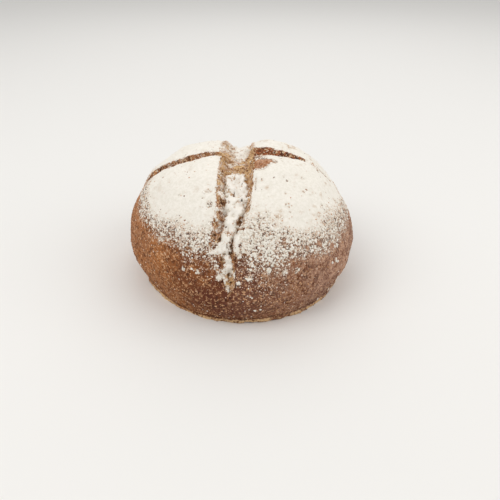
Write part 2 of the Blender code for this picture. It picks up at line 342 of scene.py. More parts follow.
def curveThrough(x, stations, values):
    # a smooth curve through a few values: cubic Hermite pieces whose slopes are the values' own
    stations = np.asarray(stations, float)
    values = np.asarray(values, float)
    slopes = np.gradient(values, stations)
    x = np.clip(x, stations[0], stations[-1])
    piece = np.clip(np.searchsorted(stations, x, side="right") - 1, 0, len(stations) - 2)
    span = stations[piece + 1] - stations[piece]
    t = (x - stations[piece]) / span
    start = (2 * t**3 - 3 * t**2 + 1) * values[piece] + (t**3 - 2 * t**2 + t) * span * slopes[piece]
    end = (3 * t**2 - 2 * t**3) * values[piece + 1] + (t**3 - t**2) * span * slopes[piece + 1]
    return start + end


def waves(points, wavelength, height, seed):
    # smooth unevenness: a sum of cosine waves that run in seeded random directions
    draw = np.random.default_rng(seed)
    count = 14
    directions = draw.normal(size=(count, 3))
    directions /= np.linalg.norm(directions, axis=1, keepdims=True)
    lengths = wavelength * draw.uniform(0.7, 1.4, count)
    phases = draw.uniform(0, 2 * np.pi, count)
    total = np.cos(2 * np.pi * points @ (directions / lengths[:, None]).T + phases).sum(axis=1)
    return height * total * np.sqrt(2 / count)


def cellDraw(cells, seed):
    # one repeatable number from 0 to 1 for each cell, by multiplying, shifting and mixing its three indices
    mixed = (cells.astype(np.int64) * np.array([73856093, 19349663, 83492791])).astype(np.uint64)
    mixed = np.bitwise_xor.reduce(mixed, axis=-1) ^ np.uint64(seed * 2654435761)
    for factor in (0xFF51AFD7ED558CCD, 0xC4CEB9FE1A85EC53):
        mixed = (mixed ^ (mixed >> np.uint64(33))) * np.uint64(factor)
    return (mixed >> np.uint64(11)).astype(float) / 2**53


def latticeNoise(points, size, seed):
    # noise from -1 to 1: a drawn value at each corner of a lattice of cubes, blended by an S-curve
    place = points / size
    cell = np.floor(place).astype(np.int64)
    share = smoothStep(place - cell)
    total = np.zeros(len(points))
    for corner in itertools.product((0, 1), repeat=3):
        weight = np.prod(np.where(corner, share, 1 - share), axis=1)
        total += weight * (2 * cellDraw(cell + corner, seed) - 1)
    return total


def layered(points, layers):
    # a sum of lattice noises, each given by its size, height and seed
    return sum(height * latticeNoise(points, size, seed) for size, height, seed in layers)


def roundDots(points, cell, radii, share, seed, **unused):
    # round dots: a share of the cubes of a lattice hold one ball each, and the value is 1 less the square of
    # distance over radius inside the nearest ball, and 0 outside them all
    place = points / cell
    home = np.floor(place).astype(np.int64)
    best = np.zeros(len(points))
    for step in itertools.product((-1, 0, 1), repeat=3):
        cube = home + step
        middle = cube + np.stack([cellDraw(cube, seed + axis) for axis in range(3)], axis=1)
        radius = radii[0] + (radii[1] - radii[0]) * cellDraw(cube, seed + 3)
        gap = np.linalg.norm(place - middle, axis=1) * cell
        best = np.maximum(best, (cellDraw(cube, seed + 4) < share) * (1 - (gap / radius) ** 2))
    return best


def planShare(turn):
    # the loaf's radius in this direction against the belt's: 1 plus a few harmonics
    share = np.ones_like(turn)
    for harmonic, cosine, sine in dome["planWaves"]:
        share += cosine * np.cos(harmonic * turn) + sine * np.sin(harmonic * turn)
    return share


def domeProfile():
    # half section by arc length: a superellipse above the belt, a rounded turn and a slope below it
    turn = np.linspace(0, np.pi / 2, dome["domeSamples"])
    power = dome["power"]
    above = (np.sin(turn) ** power + np.cos(turn) ** power) ** (-1 / power)
    belt = dome["beltHeight"]
    domeRadius = dome["beltRadius"] * above * np.sin(turn)
    domeHeight = belt + (dome["domeHeight"] - belt) * above * np.cos(turn)
    down = np.linspace(0, 1, dome["tuckSamples"])
    bend = dome["tuckRound"]
    tuck = (np.hypot(down, bend) - bend) / (np.hypot(1, bend) - bend)
    tuckRadius = dome["beltRadius"] * (1 - (1 - dome["footShare"]) * tuck)
    radius = np.append(domeRadius, tuckRadius[1:])
    height = np.append(domeHeight, (belt * (1 - down))[1:])
    arc = np.append(0, np.cumsum(np.hypot(np.diff(radius), np.diff(height))))
    out = -np.gradient(height, arc)
    up = np.gradient(radius, arc)
    size = np.hypot(out, up)
    return arc, radius, height, out / size, up / size


arcs, radii, heights, outs, ups = domeProfile()


def centreOffset():
    # from the dome's axis to the middle of the belt's extents, which lies over the origin
    turn = np.linspace(-np.pi, np.pi, dome["planSamples"], endpoint=False)
    radius = dome["beltRadius"] * planShare(turn)
    x = radius * np.cos(turn)
    y = radius * np.sin(turn)
    return np.array([(x.max() + x.min()) / 2, (y.max() + y.min()) / 2])


def armPlace(mapX, mapY, heading):
    # distance along an arm of the cross, and the place across it
    along = mapX * heading[0] + mapY * heading[1]
    return along, mapX if heading[0] == 0 else mapY


def cutShape(mapX, mapY, cut):
    # a cut's depth, how far inside its edges a place is from 0 to 1, the distance outside its edges, and how
    # far the crust is torn open there, which changes from 0 to 1 right at the edge
    along, across = armPlace(mapX, mapY, cut["heading"])
    centre, halfWidth, depth = (
        curveThrough(along, cut["stations"], cut[row]) for row in ("centre", "halfWidth", "depth")
    )
    low = smoothStep((across - centre + halfWidth) / cut["lowWall"])
    high = smoothStep((halfWidth - across + centre) / cut["highWall"])
    first, last = cut["stations"][0], cut["stations"][-1]
    within = ((along > first) & (along < last)) * low * high
    beyond = np.maximum(np.maximum(first - along, along - last), 0)
    outside = np.hypot(np.maximum(np.abs(across - centre) - halfWidth, 0), beyond)
    fromEdge = halfWidth - np.abs(across - centre) + cutEdges["tearOutside"]
    opened = smoothStep(fromEdge / cutEdges["tearWidth"]) * np.clip(depth / cutEdges["tornDepth"], 0, 1)
    return within * np.maximum(depth, 0), within, outside, opened * (beyond == 0)


def brokenLines(points, size, width, patches, patchEdge, seed, **unused):
    # broken thin lines, 1 along their middle: where a noise passes through zero, kept only where another
    # noise is over zero
    line = smoothStep(1 - np.abs(latticeNoise(points, size, seed)) / width)
    return line * smoothStep(latticeNoise(points, patches, seed + 1) / patchEdge + 0.4)


def slabShape(mapX, mapY, name):
    # how far a slab stands over its arm's floor, and how much a place lies on it, from 0 to 1
    slab = slabs[name]
    along, across = armPlace(mapX, mapY, cuts[name]["heading"])
    left, right, rise = (
        curveThrough(along, slab["stations"], slab[row]) for row in ("left", "right", "rise")
    )
    on = smoothStep((across - left) / slab["edge"] + 0.5) * smoothStep((right - across) / slab["edge"] + 0.5)
    on = on * (along > slab["stations"][0]) * (along < slab["stations"][-1])
    return on * np.maximum(rise, 0), on


def markFields(mapX, mapY):
    # flour and depth of the single marks: flat-topped ellipses, exp(-(distance in half sizes)^4)
    flour = np.zeros_like(mapX)
    depth = np.zeros_like(mapX)
    alike = ((*place, kind["half"], kind["half"], kind["flour"], kind["depth"])
             for kind in spots.values() for place in kind["places"])
    for x, y, halfX, halfY, amount, deep in itertools.chain(marks.values(), alike):
        weight = np.exp(-((((mapX - x) / halfX) ** 2 + ((mapY - y) / halfY) ** 2) ** 2))
        flour += amount * weight
        depth += deep * weight
    return flour, depth


def flourAmount(mapX, mapY, points, opened, inCut, onSlab, valleys, cracks):
    # how thickly a place is dusted, from 0 to 1: by its distance from the crown against the two edges in its
    # direction, each cut's own amount inside the cuts, less in the valleys there, and thick again on the
    # slabs between their cracks
    reach = np.hypot(mapX, mapY) + layered(points, dust["raggedness"])
    turn = np.degrees(np.arctan2(mapY, mapX))
    thick = curveThrough(turn, dust["turns"], dust["thickEdge"])
    thin = curveThrough(turn, dust["turns"], dust["thinEdge"])
    amount = np.interp((reach - thick) / (thin - thick), dust["steps"], dust["amounts"])
    inFront = mapY < dust["wallStart"]
    leftEnd, rightStart = dust["wallSides"]
    frontLeft = smoothStep((leftEnd - mapX) / dust["wallBlend"]) * inFront
    frontRight = smoothStep((mapX - rightStart) / dust["wallBlend"]) * inFront
    inCut = inCut + (np.interp(-mapY, dust["leftWallStations"], dust["leftWall"]) - inCut) * frontLeft
    inCut = inCut + (np.interp(-mapY, dust["rightWallStations"], dust["rightWall"]) - inCut) * frontRight
    crossing = dust["crossing"]
    atCrossing = np.exp(-((np.hypot(mapX, mapY - crossing["middle"]) / crossing["reach"]) ** 4))
    inCut = inCut + (crossing["amount"] - inCut) * atCrossing * (np.abs(mapX) < crossing["halfWidth"])
    amount -= dust["thinSpotDepth"] * thinSide(mapX) * thinSpots(points)
    inCut = inCut + layered(points, dust["cutPatches"]) + dust["valleyShare"] * valleys
    amount += (np.minimum(inCut, amount + dust["overCrust"]) - amount) * opened
    starts, full = dust["slabStarts"]
    ragged = layered(points, dust["slabRaggedness"])
    floury = smoothStep((np.abs(mapY) - starts) / (full - starts))
    floury = floury * smoothStep((onSlab + ragged + 0.3 * valleys - 0.3) / 0.6)
    onTop = dust["slabAmount"] + dust["slabValleys"] * np.minimum(valleys + 0.2, 0)
    onTop = onTop - dust["crackShare"] * cracks
    return np.maximum(amount, onTop * floury)


def thinSpots(points):
    # soft spots where the flour lies thinner, from 0 to 1
    start, blend = dust["thinSpotEdge"]
    return smoothStep((layered(points, dust["thinSpots"]) - start) / blend)


def thinSide(mapX):
    # 0 on the loaf's left side and 1 on its right one
    start, blend = dust["thinSide"]
    return smoothStep((mapX - start) / blend)


def brownness(mapX, mapY):
    # how brown the torn crumb is, from 0 to 1: the brownest of its parts, each an S-curve across times
    # another along the arm
    browner = np.zeros_like(mapX)
    for side, sideBlend, start, startBlend, amount in brownCrumb.values():
        across = smoothStep((mapX - side) / sideBlend)
        along = smoothStep((start - mapY) / startBlend)
        browner = np.maximum(browner, amount * across * along)
    return browner * smoothStep((mapY - brownEnd["place"]) / brownEnd["blend"])


def crustAt(mapX, mapY):
    # the crust over a place of the crown map: the dome's point moved along its normal by the relief, and
    # masks for flour, torn crumb, painted shade in holes and valleys, the foot's rim and how warm the
    # crust's brown is, which is partly painted shade
    arc = np.minimum(np.hypot(mapX, mapY), arcs[-1])
    turn = np.arctan2(mapY, mapX)
    radius = np.interp(arc, arcs, radii) * planShare(turn)
    out = np.interp(arc, arcs, outs)
    points = np.stack([radius * np.cos(turn), radius * np.sin(turn), np.interp(arc, arcs, heights)], axis=1)
    normals = np.stack([out * np.cos(turn), out * np.sin(turn), np.interp(arc, arcs, ups)], axis=1)

    deepest, inside, shoulder, opened, inCut, pale = (np.zeros_like(mapX) for field in range(6))
    tornX = mapX + layered(points, cutEdges["raggedX"])
    tornY = mapY + layered(points, cutEdges["raggedY"])
    for name, cut in cuts.items():
        depth, within, outside, open = cutShape(tornX, tornY, cut)
        deepest += depth**4
        inside = np.maximum(inside, within * np.clip(depth / cutEdges["insideDepth"], 0, 1))
        inCut = np.where(open > opened, cut["flour"], inCut)
        pale = np.maximum(pale, open * cut["paleCrumb"])
        opened = np.maximum(opened, open)
        rounding = np.exp(-((outside / cutEdges["shoulderReach"]) ** 2))
        shoulder = np.maximum(shoulder, cut["shoulder"] * rounding)
        if name == "front":
            besideFront = outside
    deepest **= 0.25
    lip = np.exp(-(((besideFront - cutEdges["lipReach"]) / cutEdges["lipReach"]) ** 2)) * (1 - inside)
    slabX = tornX + layered(points, cutEdges["slabRagged"])
    frontRise, onFront = slabShape(slabX, tornY, "front")
    backRise, onBack = slabShape(slabX, tornY, "back")
    onSlab = np.maximum(onFront, onBack)
    lobe = 1 + dome["lobeUnevenness"] * np.cos(turn - np.radians(dome["lobeHighest"]))
    lobe *= dome["lobeRise"] * np.sin(2 * turn) ** 2 * smoothStep(arc / dome["lobeStart"])
    lobe *= smoothStep((dome["lobeEnd"] - arc) / dome["lobeFade"])
    sink = dome["crownSink"] * np.exp(-((arc / dome["crownSinkReach"]) ** 2))
    height = lobe - sink + cutEdges["lipRise"] * lip - shoulder - deepest
    height += np.minimum(frontRise + backRise, cutEdges["slabShare"] * deepest)
    height += sum(waves(points, *layer) for layer in dome["crustWaves"])
    height += inside * sum(waves(points, *layer) for layer in dome["tornWaves"])

    markFlour, markDepth = markFields(mapX, mapY)
    valleys = layered(points, relief["valleys"])
    cracks = brokenLines(points, **relief["slabCracks"]) * onSlab
    flour = flourAmount(mapX, mapY, points, opened, inCut, onSlab, valleys, cracks) + markFlour
    slabHoles = roundDots(points, **relief["slabHoles"]) * smoothStep((onSlab - 0.4) / 0.3)
    flour = np.clip(flour - relief["slabHoles"]["bare"] * slabHoles, 0, 1)
    hidden, hiding = dust["hidesTorn"]
    torn = opened * (1 - smoothStep((flour - hidden) / hiding))
    holes = roundDots(points, **relief["tornHoles"]) * torn
    pits = roundDots(points, **relief["crustPits"]) * (1 - opened) * (1 - flour)
    folds = relief["folds"]
    foldPlaces = points / np.array([folds["stretch"], 1, 1])
    foldShare = torn * np.exp(-((np.hypot(mapX, mapY - folds["middle"]) / folds["reach"]) ** 4))
    height += folds["height"] * foldShare * latticeNoise(foldPlaces, folds["size"], folds["seed"])
    height += (torn - relief["foldsHide"]["lumps"] * foldShare) * layered(points, relief["tornLumps"])
    height += opened * relief["valleyDepth"] * valleys
    height -= relief["tornHoles"]["depth"] * holes * (1 - relief["foldsHide"]["holes"] * foldShare)
    height += onSlab * layered(points, relief["slabLumps"]) - relief["slabHoles"]["depth"] * slabHoles
    height -= relief["slabCracks"]["depth"] * cracks
    height += (1 - torn) * (1 - 0.7 * flour) * layered(points, relief["crustGrain"])
    height += flour * (relief["flourThickness"] + layered(points, relief["flourLumps"]))
    height -= relief["crustPits"]["depth"] * pits + markDepth

    fade = smoothStep((arcs[-1] - arc) / dome["footFade"])
    over = points[:, 2] + layered(points, relief["rimWander"]) ** 2
    rim = np.exp(-(((over - relief["rimHeight"]) / relief["rimSpread"]) ** 2))
    bulge = relief["rimBulge"] + layered(points, relief["rimLumps"])
    points += normals * (fade * height + bulge * rim)[:, None]
    points[arc >= arcs[-1] * (1 - 1e-9), 2] = 0
    points[:, 2] = np.maximum(points[:, 2], 0)
    points[:, :2] -= centreOffset()
    # the crust's own golden tone, with painted shade: darker towards the bottom, the right and the front,
    # most of all at the shade place
    warmthAndShade = crustWarmthAndShade["middle"] + points @ np.array(crustWarmthAndShade["slopes"])
    warmthAndShade += layered(points, crustWarmthAndShade["clouds"])
    shadeX, shadeY = crustWarmthAndShade["shadePlace"]
    fromShade = np.hypot(mapX - shadeX, mapY - shadeY) / crustWarmthAndShade["shadeReach"]
    warmthAndShade -= crustWarmthAndShade["shadeAmount"] * np.exp(-(fromShade**2))
    # painted shade: the deeper marks are drawn dark like holes
    markShade = np.clip(markDepth / relief["markShadeDepth"], 0, 1)
    return {
        "points": points,
        "flour": flour,
        "torn": torn,
        # painted shade mask: the valleys of the torn crumb
        "valleyShade": opened * smoothStep((-0.05 - valleys) / 0.5),
        "fold": foldShare,
        "rough": np.maximum(opened, onSlab),
        "film": curveThrough(np.degrees(turn), dust["filmTurns"], dust["film"]) * (1 - opened),
        "thin": thinSpots(points) * (0.35 + 0.65 * thinSide(mapX)),
        "slabEdge": 4 * onSlab * (1 - onSlab),
        # painted shade mask: holes in the crumb and the slabs, and deep bare marks
        "holeShade": np.maximum.reduce([holes, slabHoles, markShade * (1 - flour)]),
        "pale": pale * (1 - brownEnd["paler"] * brownness(mapX, mapY)),
        "rim": rim,
        "warmthAndShade": np.clip(warmthAndShade, 0, crustWarmthAndShade["most"]),
    }


def netPlaces():
    # the square net as places in the crown map: graded towards its two middle lines, rounded to a disc,
    # drawn closer towards the foot, and bent to run along the arms of the cross
    line = np.linspace(-1, 1, net["faces"] + 1)
    reach = np.sqrt(1 + net["turn"] ** 2) - net["turn"]
    bent = np.sqrt(line**2 + net["turn"] ** 2) - net["turn"]
    graded = np.sign(line) * (net["closeness"] * np.abs(line) + (1 - net["closeness"]) * bent)
    graded /= net["closeness"] + (1 - net["closeness"]) * reach
    u, v = (side.ravel() for side in np.meshgrid(graded, graded, indexing="ij"))
    diskX = u * np.sqrt(1 - v**2 / 2)
    diskY = v * np.sqrt(1 - u**2 / 2)
    radius = np.hypot(diskX, diskY)
    closer = arcs[-1] * (1 + net["footCloseness"] * radius**5 * (1 - radius))
    mapX = diskX * closer
    mapY = diskY * closer
    shifts = []
    for arms, place, beside in ((("front", "back"), mapY, mapX), (("left", "right"), mapX, mapY)):
        low, high = (curveThrough(np.abs(place), cuts[arm]["stations"], cuts[arm]["centre"]) for arm in arms)
        past = smoothStep(0.5 + place / net["crossingWidth"])
        shifts.append((low + (high - low) * past) * np.exp(-((beside / net["bendReach"]) ** 2)))
    rimFade = smoothStep((arcs[-1] - np.hypot(mapX, mapY)) / dome["footFade"])
    return mapX + shifts[0] * rimFade, mapY + shifts[1] * rimFade


class Term:
    # a socket of a material: sums on one that gives a number add Math nodes
    def __init__(self, finish, socket):
        self.finish = finish
        self.socket = socket

    def math(self, operation, *values):
        return self.finish.node("ShaderNodeMath", {"operation": operation}, dict(enumerate(values)))

    def __add__(self, other):
        return self.math("ADD", self, other)

    def __sub__(self, other):
        return self.math("SUBTRACT", self, other)

    def __rsub__(self, other):
        return self.math("SUBTRACT", other, self)

    def __mul__(self, other):
        return self.math("MULTIPLY", self, other)

    __radd__ = __add__
    __rmul__ = __mul__

    def step(self, low, high):
        # 0 below low, 1 above high and an S-shaped rise between
        settings = {"interpolation_type": "SMOOTHSTEP"}
        return self.finish.node("ShaderNodeMapRange", settings, {0: self, 1: low, 2: high})


class Finish:
    # a material built round its Principled shader
    def __init__(self, name, specular):
        self.material = bpy.data.materials.new(name)
        self.material.use_nodes = True
        self.tree = self.material.node_tree
        self.shader = self.tree.nodes["Principled BSDF"]
        self.shader.inputs["Specular IOR Level"].default_value = specular
        self.place = self.node("ShaderNodeTexCoord", {}, {}, "Object")

    def node(self, kind, settings, sockets, out=0):
        made = self.tree.nodes.new(kind)
        for name, value in settings.items():
            setattr(made, name, value)
        for name, value in sockets.items():
            self.feed(made.inputs[name], value)
        return Term(self, made.outputs[out])

    def feed(self, socket, value):
        if isinstance(value, Term):
            self.tree.links.new(value.socket, socket)
        else:
            socket.default_value = value

    def mix(self, share, first, second):
        return self.node("ShaderNodeMix", {"data_type": "RGBA"}, {0: share, 6: first, 7: second}, 2)

    def noise(self, size, detail=2.0, roughness=0.5, out="Fac", place=None):
        sockets = {"Vector": place or self.place, "Scale": 1 / (size * mm), "Detail": detail}
        sockets["Roughness"] = roughness
        return self.node("ShaderNodeTexNoise", {}, sockets, out)

    def vector(self, operation, sockets):
        return self.node("ShaderNodeVectorMath", {"operation": operation}, sockets)

    def shaken(self, size, reach):
        # the place, moved about by noise of this size as far as this reach
        shake = self.noise(size, 1.0, out="Color")
        centred = self.vector("SUBTRACT", {0: shake, 1: (0.5, 0.5, 0.5)})
        scaled = self.vector("SCALE", {0: centred, "Scale": 2 * reach * mm})
        return self.vector("ADD", {0: self.place, 1: scaled})

    def grit(self, size, place):
        # one drawn number from 0 to 1 for each grain of this size
        sockets = {"Vector": place, "Scale": 1 / (size * mm)}
        colour = self.node("ShaderNodeTexVoronoi", {}, sockets, "Color")
        return self.node("ShaderNodeSeparateColor", {}, {0: colour}, 0)

    def mask(self, name):
        return self.node("ShaderNodeAttribute", {"attribute_name": name}, {}, "Fac")

    def surface(self, colour, roughness, height):
        # height is in millimetres
        self.feed(self.shader.inputs["Base Color"], colour)
        self.feed(self.shader.inputs["Roughness"], roughness)
        bump = self.node("ShaderNodeBump", {}, {"Strength": 1.0, "Distance": mm, "Height": height})
        self.feed(self.shader.inputs["Normal"], bump)
        return self.material


def linear(red, green, blue):
    # a screen colour from 0 to 255 as the light it stands for
    shares = ((level / 255 + 0.055) / 1.055 for level in (red, green, blue))
    return (*(share**2.4 for share in shares), 1)


# Colours as screen levels from 0 to 255
screenColours = {
    "golden": (172, 107, 52),
    "dark": (97, 46, 25),
    "branLight": (222, 172, 128),
    "branMid": (114, 64, 35),
    # dark bran flecks, and the painted shadow in the crease above the foot's rim
    "branDarkAndShade": (48, 25, 16),
    "haze": (188, 150, 124),
    "film": (200, 160, 134),
    # painted shade for the gaps between flour grains
    "creviceShade": (68, 43, 29),
    "cream": (238, 212, 172),
    "paleGold": (232, 196, 144),
    "paleBrown": (160, 107, 62),
    # painted shade for the valleys of the torn crumb
    "valleyShade": (112, 66, 36),
    "darkGold": (168, 98, 56),
    # painted shade for the inside of holes
    "darkBrown": (66, 33, 18),
    "holeShade": (62, 36, 20),
    "rim": (220, 184, 136),
    "flour": (246, 240, 230),
    "flourShade": (234, 228, 215),
    "flourThin": (210, 190, 168),
    "grainDark": (206, 166, 134),
}
crustColours = {name: linear(*levels) for name, levels in screenColours.items()}


# Sizes of the patterns in the crust's finish, in millimetres
crustPatterns = {
    "shakenBy": (1.5, 0.6),
    "fineGrit": 1.2,
    "coarseGrit": 2.3,
    "cloud": 2.6,
    "patches": 10,
    "crumb": 1.8,
    "foldStretch": (0.22, 1.0, 1.0),
    "granules": 1.3,
    "fineBumps": 0.9,
    "coarseBumps": 2.1,
}


def crustFinish():
    finish = Finish("flouredCrust", 0.25)
    colours = crustColours
    sizes = crustPatterns
    shaken = finish.shaken(*sizes["shakenBy"])
    fine = finish.grit(sizes["fineGrit"], shaken)
    coarse = finish.grit(sizes["coarseGrit"], shaken)
    cloud = finish.noise(sizes["cloud"], 4.0, 0.7)
    patchy = finish.noise(sizes["patches"], 2.0)
    dusted = finish.mask("flour")
    torn = finish.mask("torn")
    rough = finish.mask("rough")

    # flour lies where the dusting passes a threshold that changes from grain to grain
    threshold = 0.46 * fine + 0.22 * coarse + 0.62 * cloud + 0.3 * patchy - 0.3
    lying = (dusted - threshold).step(-0.11, 0.11)

    # golden to dark crust: its own tone, plus painted shade towards the bottom, the right and the front
    warmthAndShade = finish.mask("warmthAndShade") + 0.7 * (patchy - 0.5)
    bread = finish.mix(warmthAndShade.step(0, 1), colours["dark"], colours["golden"])
    bread = finish.mix(coarse.step(0.78, 0.95) * 0.55, bread, colours["branDarkAndShade"])
    bread = finish.mix((0.09 - coarse).step(0, 0.03) * 0.4, bread, colours["branLight"])
    paleBran = fine.step(0.83, 0.96) * (0.45 + 0.5 * patchy.step(0.35, 0.6))
    bread = finish.mix(paleBran, bread, colours["branLight"])
    filmPatches = 0.4 + 0.6 * patchy.step(0.36, 0.6)
    film = finish.mask("film") * (0.8 * cloud + 0.2 * fine).step(0.3, 0.6) * filmPatches
    bread = finish.mix(film, bread, colours["film"])
    # between the flour grains the crust is drawn with painted crevice shade, mixed with the real haze of
    # dust
    between = finish.mix(cloud.step(0.48, 0.66), colours["creviceShade"], colours["haze"])
    bread = finish.mix((dusted - 0.24).step(0, 0.3) * 0.9, bread, between)
    tornMix = (0.7 * finish.noise(sizes["crumb"], 3.0, 0.65) + 0.3 * coarse).step(0.38, 0.62)
    stretched = finish.node("ShaderNodeMapping", {}, {"Vector": shaken, "Scale": sizes["foldStretch"]})
    bands = finish.noise(sizes["crumb"], 3.0, 0.65, place=stretched).step(0.35, 0.62)
    fold = finish.mask("fold")
    tornMix = bands * fold + tornMix * (1 - fold)
    paleCrumb = finish.mix(tornMix, colours["paleBrown"], colours["paleGold"])
    darkCrumb = finish.mix(tornMix, colours["darkBrown"], colours["darkGold"])
    crumb = finish.mix(finish.mask("pale"), darkCrumb, paleCrumb)
    # painted shade: the torn crumb is drawn darker in its valleys
    crumb = finish.mix(finish.mask("valleyShade") * 0.6, crumb, colours["valleyShade"])
    crumb = finish.mix(fine.step(0.78, 0.92) * 0.75, crumb, colours["cream"])
    bread = finish.mix(torn, bread, crumb)
    # painted shade: holes and deep marks are drawn dark
    bread = finish.mix(finish.mask("holeShade").step(0.1, 0.8) * 0.85, bread, colours["holeShade"])
    rim = finish.mask("rim")
    # painted shadow: a dark line in the crease just above the foot's rim
    bread = finish.mix((rim.step(0.01, 0.08) - rim.step(0.12, 0.3)) * 0.6, bread, colours["branDarkAndShade"])
    rim = rim.step(0.25, 0.6) * (0.4 * cloud + 0.6 * patchy).step(0.42, 0.52)
    bread = finish.mix(rim * 0.9, bread, colours["rim"])
    flour = finish.mix(cloud.step(0.3, 0.7) + 0.6 * rough, colours["flourShade"], colours["flour"])
    thin = (finish.mask("thin") + (0.9 - dusted).step(0, 0.45)) * (1 - 0.8 * rough)
    flour = finish.mix(thin * (0.6 * cloud + 0.6 * fine).step(0.3, 0.7), flour, colours["flourThin"])
    flour = finish.mix((0.45 - dusted).step(0, 0.25) * 0.85, flour, colours["grainDark"])
    colour = finish.mix(lying, bread, flour)

    scale = 1 / (sizes["granules"] * mm)
    granules = 1.0 - finish.node("ShaderNodeTexVoronoi", {}, {"Vector": shaken, "Scale": scale})
    fineBumps = finish.noise(sizes["fineBumps"], 2.0, 0.6)
    coarseBumps = finish.noise(sizes["coarseBumps"], 2.0, 0.5)
    grain = 0.36 * fineBumps + 0.42 * coarseBumps + 0.3 * granules
    height = grain * (1 - lying * (0.7 - 0.4 * rough)) + 0.35 * lying
    roughness = 0.72 + 0.2 * lying
    return finish.surface(colour, roughness, height)


def addPiece(name, points, faces, material, masks):
    # points in millimetres; a mask is one number for each point
    mesh = bpy.data.meshes.new(name)
    mesh.from_pydata(points * mm, [], faces)
    for key, values in masks.items():
        attribute = mesh.attributes.new(key, "FLOAT", "POINT")
        attribute.data.foreach_set("value", values.astype(np.float32))
    mesh.shade_smooth()
    mesh.materials.append(material)
    piece = bpy.data.objects.new(name, mesh)
    bpy.context.scene.collection.objects.link(piece)
    return piece


sharpAngle = 60  # degrees between faces, past which an edge is drawn sharp

# The crust: the net laid over the dome, closed by a fan of faces under the foot
netMap = netPlaces()
crust = crustAt(*netMap)
side = net["faces"] + 1
index = np.arange(side * side).reshape(side, side)
quads = np.stack([index[:-1, :-1], index[1:, :-1], index[1:, 1:], index[:-1, 1:]], axis=-1).reshape(-1, 4)
rimLoop = np.concatenate([index[:-1, 0], index[-1, :-1], index[:0:-1, -1], index[0, :0:-1]])
footMiddle = np.append(crust["points"][rimLoop, :2].mean(axis=0), 0)
fan = np.stack([np.roll(rimLoop, -1), rimLoop, np.full_like(rimLoop, side * side)], axis=1)
masks = {key: np.append(values, 0) for key, values in crust.items() if key not in ("points", "slabEdge")}
points = np.vstack([crust["points"], footMiddle])
loafCrust = addPiece("loafCrust", points, quads.tolist() + fan.tolist(), crustFinish(), masks)
loafCrust.data.set_sharp_from_angle(angle=math.radians(sharpAngle))
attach(loafCrust, "root")
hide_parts("loaf")
print("crust made:", len(loafCrust.data.polygons), "faces")


def gridCells(values):
    # the mean of the four corners of each cell of the net
    return (values[:-1, :-1] + values[1:, :-1] + values[1:, 1:] + values[:-1, 1:]) / 4


netPoints = crust["points"].reshape(side, side, 3)
netFlour = crust["flour"].reshape(side, side, 1)
alongX = np.gradient(netPoints, axis=0)
alongY = np.gradient(netPoints, axis=1)
netNormals = np.cross(alongX, alongY)
cellArea = gridCells(np.linalg.norm(netNormals, axis=2))
netNormals /= np.maximum(np.linalg.norm(netNormals, axis=2, keepdims=True), 1e-9)


def sprinkle(count, density, draw):
    # seeded places on the crust: cells drawn by their area times the density there, and a place in each
    weight = cellArea * gridCells(density.reshape(side, side))
    cell = draw.choice(weight.size, count, p=weight.ravel() / weight.sum())
    i, j = np.unravel_index(cell, weight.shape)
    a, b = draw.random((2, count, 1))

    def blended(field):
        low = field[i, j] * (1 - a) + field[i + 1, j] * a
        high = field[i, j + 1] * (1 - a) + field[i + 1, j + 1] * a
        return low * (1 - b) + high * b

    return blended(netPoints), blended(netNormals), blended(netFlour)[:, 0]


def pebble(rings, sides):
    # a unit ball as rings of points between two poles
    tilt, turn = np.meshgrid(
        np.pi * np.arange(1, rings + 1) / (rings + 1), 2 * np.pi * np.arange(sides) / sides, indexing="ij"
    )
    ring = np.stack([np.sin(tilt) * np.cos(turn), np.sin(tilt) * np.sin(turn), np.cos(tilt)], axis=2)
    points = np.vstack([[0, 0, 1], ring.reshape(-1, 3), [0, 0, -1]])
    spot = 1 + np.arange(rings * sides).reshape(rings, sides)
    following = np.roll(spot, -1, axis=1)
    faces = [
        np.stack([np.zeros_like(spot[0]), spot[0], following[0]], axis=1),
        np.stack([np.full_like(spot[0], rings * sides + 1), following[-1], spot[-1]], axis=1),
        np.stack([spot[:-1], spot[1:], following[1:]], axis=2).reshape(-1, 3),
        np.stack([spot[:-1], following[1:], following[:-1]], axis=2).reshape(-1, 3),
    ]
    return points, np.vstack(faces)


floorGap = 0.05  # nothing that is scattered comes closer to the floor than this


def scatter(name, recipe, density, material):
    # many small lumps in one mesh: each is a pebble of its own three radii and dents, turned at random about
    # the crust's normal and sunk a little into the crust
    draw = np.random.default_rng(recipe["seed"])
    places, normals, local = sprinkle(recipe["count"], density, draw)
    template, faces = pebble(recipe["rings"], recipe["sides"])
    count, corners = len(places), len(template)
    smallest, largest = recipe["radii"]
    radius = smallest * (largest / smallest) ** (draw.random((count, 1)) ** recipe["mostlySmall"])
    stretch = draw.uniform(*recipe["stretch"], (count, 1))
    flatness = draw.uniform(*recipe["flatness"], (count, 1))
    sideways = np.cross(normals, draw.normal(size=(count, 3)))
    sideways /= np.linalg.norm(sideways, axis=1, keepdims=True)
    across = np.cross(normals, sideways)
    dents = draw.uniform(1 - recipe["dents"], 1 + recipe["dents"], (count, corners, 1))
    form = template[None] * dents
    points = places[:, None] + form[..., 2:] * (normals * radius * flatness)[:, None]
    points += form[..., :1] * (sideways * radius * stretch)[:, None]
    points += form[..., 1:2] * (across * radius / stretch)[:, None]
    points += (normals * radius * flatness * recipe["lift"])[:, None]
    points[..., 2] = np.maximum(points[..., 2], floorGap)
    faces = (faces[None] + corners * np.arange(count)[:, None, None]).reshape(-1, 3)
    shade = draw.random(count) ** recipe["mostlyDark"] * (1 - recipe["dusty"] + recipe["dusty"] * local)
    shade = np.repeat(shade, corners)
    piece = addPiece(name, points.reshape(-1, 3), faces.tolist(), material, {"shade": shade})
    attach(piece, "root")
    print(name, "made:", len(piece.data.polygons), "faces")


